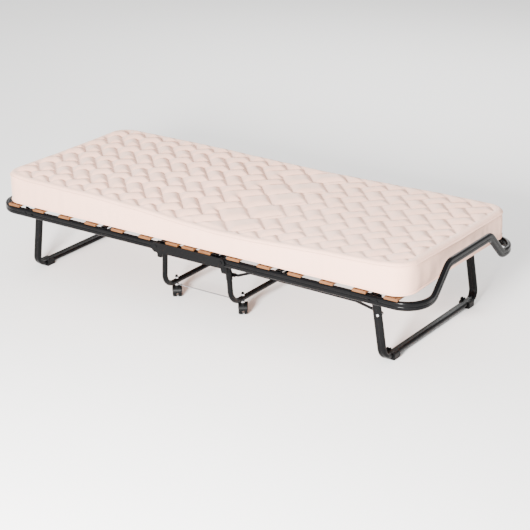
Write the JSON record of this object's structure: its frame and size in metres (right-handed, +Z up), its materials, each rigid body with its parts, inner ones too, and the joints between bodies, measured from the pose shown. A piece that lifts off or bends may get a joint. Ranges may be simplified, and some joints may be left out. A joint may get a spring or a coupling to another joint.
{
  "type": "rollaway bed",
  "caption": "Folding rollaway guest bed: black tube frame on casters and folding legs, sprung wooden slats and a quilted mattress.",
  "frame": {"origin": "on the floor under the middle of the bed", "axes": "+X towards the foot end with the raised stop, +Y to the left side, +Z up"},
  "size_m": [2.04, 0.803, 0.421],
  "materials": {
    "frame_black": "satin",
    "slat_wood": "satin",
    "slat_rivet": "satin",
    "black_rivet": "satin",
    "zinc": "bright",
    "rod_steel": "satin",
    "foot_plastic": "matte",
    "caster_plastic": "matte",
    "caster_wheel": "matte",
    "mattress_cloth": "quilted cloth"
  },
  "bodies": {
    "centre": {"caster_caps": "caster_plastic", "caster_stems": "zinc", "centre_cross_member_foot": "frame_black", "centre_cross_member_head": "frame_black", "centre_leg_foot": "frame_black", "centre_leg_head": "frame_black", "centre_slat_1": "slat_wood", "centre_slat_2": "slat_wood", "centre_slat_3": "slat_wood", "centre_slat_rivets": "slat_rivet", "hinge_pins": "black_rivet", "hinge_plates_foot": "frame_black", "hinge_plates_head": "frame_black", "link_lug_pins": "black_rivet", "link_lugs": "frame_black", "mattress_centre": "mattress_cloth", "side_channel_left": "frame_black", "side_channel_right": "frame_black", "tie_rod_left": "rod_steel", "tie_rod_right": "rod_steel"},
    "head_section": {"head_cross_member": "frame_black", "head_frame_tube": "frame_black", "head_leg_brackets": "frame_black", "head_leg_pivot_pins": "black_rivet", "head_slat_1": "slat_wood", "head_slat_2": "slat_wood", "head_slat_3": "slat_wood", "head_slat_4": "slat_wood", "head_slat_5": "slat_wood", "head_slat_6": "slat_wood", "head_slat_rivets": "slat_rivet", "mattress_head": "mattress_cloth"},
    "head_leg": {"head_foot_clips": "foot_plastic", "head_leg": "frame_black", "head_link_rivet": "zinc"},
    "head_link": {"head_link_bar": "frame_black"},
    "foot_section": {"foot_cross_member": "frame_black", "foot_frame_tube": "frame_black", "foot_leg_brackets": "frame_black", "foot_leg_pivot_pins": "black_rivet", "foot_slat_1": "slat_wood", "foot_slat_2": "slat_wood", "foot_slat_3": "slat_wood", "foot_slat_4": "slat_wood", "foot_slat_5": "slat_wood", "foot_slat_6": "slat_wood", "foot_slat_rivets": "slat_rivet", "mattress_foot": "mattress_cloth"},
    "foot_leg": {"foot_foot_clips": "foot_plastic", "foot_leg": "frame_black", "foot_link_rivet": "zinc"},
    "foot_link": {"foot_link_bar": "frame_black"},
    "caster_head_left": {"caster_hood_head_left": "caster_plastic"},
    "wheels_head_left": {"caster_wheels_head_left": "caster_wheel"},
    "caster_head_right": {"caster_hood_head_right": "caster_plastic"},
    "wheels_head_right": {"caster_wheels_head_right": "caster_wheel"},
    "caster_foot_left": {"caster_hood_foot_left": "caster_plastic"},
    "wheels_foot_left": {"caster_wheels_foot_left": "caster_wheel"},
    "caster_foot_right": {"caster_hood_foot_right": "caster_plastic"},
    "wheels_foot_right": {"caster_wheels_foot_right": "caster_wheel"}
  },
  "joints": [
    {"name": "head_fold", "type": "hinge", "parent": "centre", "child": "head_section", "pos_m": [-0.158, 0, 0.265], "axis": [0, 1, 0], "range_deg": [0, 90], "deforming": ["mattress_centre"]},
    {"name": "head_leg_swing", "type": "hinge", "parent": "head_section", "child": "head_leg", "pos_m": [-0.818, 0, 0.262], "axis": [0, 1, 0], "range_deg": [-90, 0]},
    {"name": "head_link_swing", "type": "hinge", "parent": "centre", "child": "head_link", "pos_m": [-0.174, 0, 0.194], "axis": [0, 1, 0], "range_deg": [0, 90]},
    {"name": "foot_fold", "type": "hinge", "parent": "centre", "child": "foot_section", "pos_m": [0.158, 0, 0.265], "axis": [0, -1, 0], "range_deg": [0, 90]},
    {"name": "foot_leg_swing", "type": "hinge", "parent": "foot_section", "child": "foot_leg", "pos_m": [0.818, 0, 0.262], "axis": [0, -1, 0], "range_deg": [-90, 0]},
    {"name": "foot_link_swing", "type": "hinge", "parent": "centre", "child": "foot_link", "pos_m": [0.174, 0, 0.194], "axis": [0, -1, 0], "range_deg": [0, 90]},
    {"name": "caster_head_left_swivel", "type": "hinge", "parent": "centre", "child": "caster_head_left", "pos_m": [-0.164, 0.268, 0.05], "axis": [0, 0, 1], "continuous": true},
    {"name": "wheels_head_left_spin", "type": "hinge", "parent": "caster_head_left", "child": "wheels_head_left", "pos_m": [-0.17223, 0.27933, 0.024], "axis": [0.809, 0.5878, 0], "continuous": true},
    {"name": "caster_head_right_swivel", "type": "hinge", "parent": "centre", "child": "caster_head_right", "pos_m": [-0.164, -0.268, 0.05], "axis": [0, 0, 1], "continuous": true},
    {"name": "wheels_head_right_spin", "type": "hinge", "parent": "caster_head_right", "child": "wheels_head_right", "pos_m": [-0.17223, -0.25667, 0.024], "axis": [0.809, 0.5878, 0], "continuous": true},
    {"name": "caster_foot_left_swivel", "type": "hinge", "parent": "centre", "child": "caster_foot_left", "pos_m": [0.164, 0.268, 0.05], "axis": [0, 0, 1], "continuous": true},
    {"name": "wheels_foot_left_spin", "type": "hinge", "parent": "caster_foot_left", "child": "wheels_foot_left", "pos_m": [0.15577, 0.27933, 0.024], "axis": [0.809, 0.5878, 0], "continuous": true},
    {"name": "caster_foot_right_swivel", "type": "hinge", "parent": "centre", "child": "caster_foot_right", "pos_m": [0.164, -0.268, 0.05], "axis": [0, 0, 1], "continuous": true},
    {"name": "wheels_foot_right_spin", "type": "hinge", "parent": "caster_foot_right", "child": "wheels_foot_right", "pos_m": [0.15577, -0.25667, 0.024], "axis": [0.809, 0.5878, 0], "continuous": true}
  ],
  "couplings": [
    {"joint": "head_leg_swing", "follows": "head_fold", "ratio": -1},
    {"joint": "head_link_swing", "follows": "head_fold", "ratio": 1},
    {"joint": "foot_leg_swing", "follows": "foot_fold", "ratio": -1},
    {"joint": "foot_link_swing", "follows": "foot_fold", "ratio": 1}
  ]
}
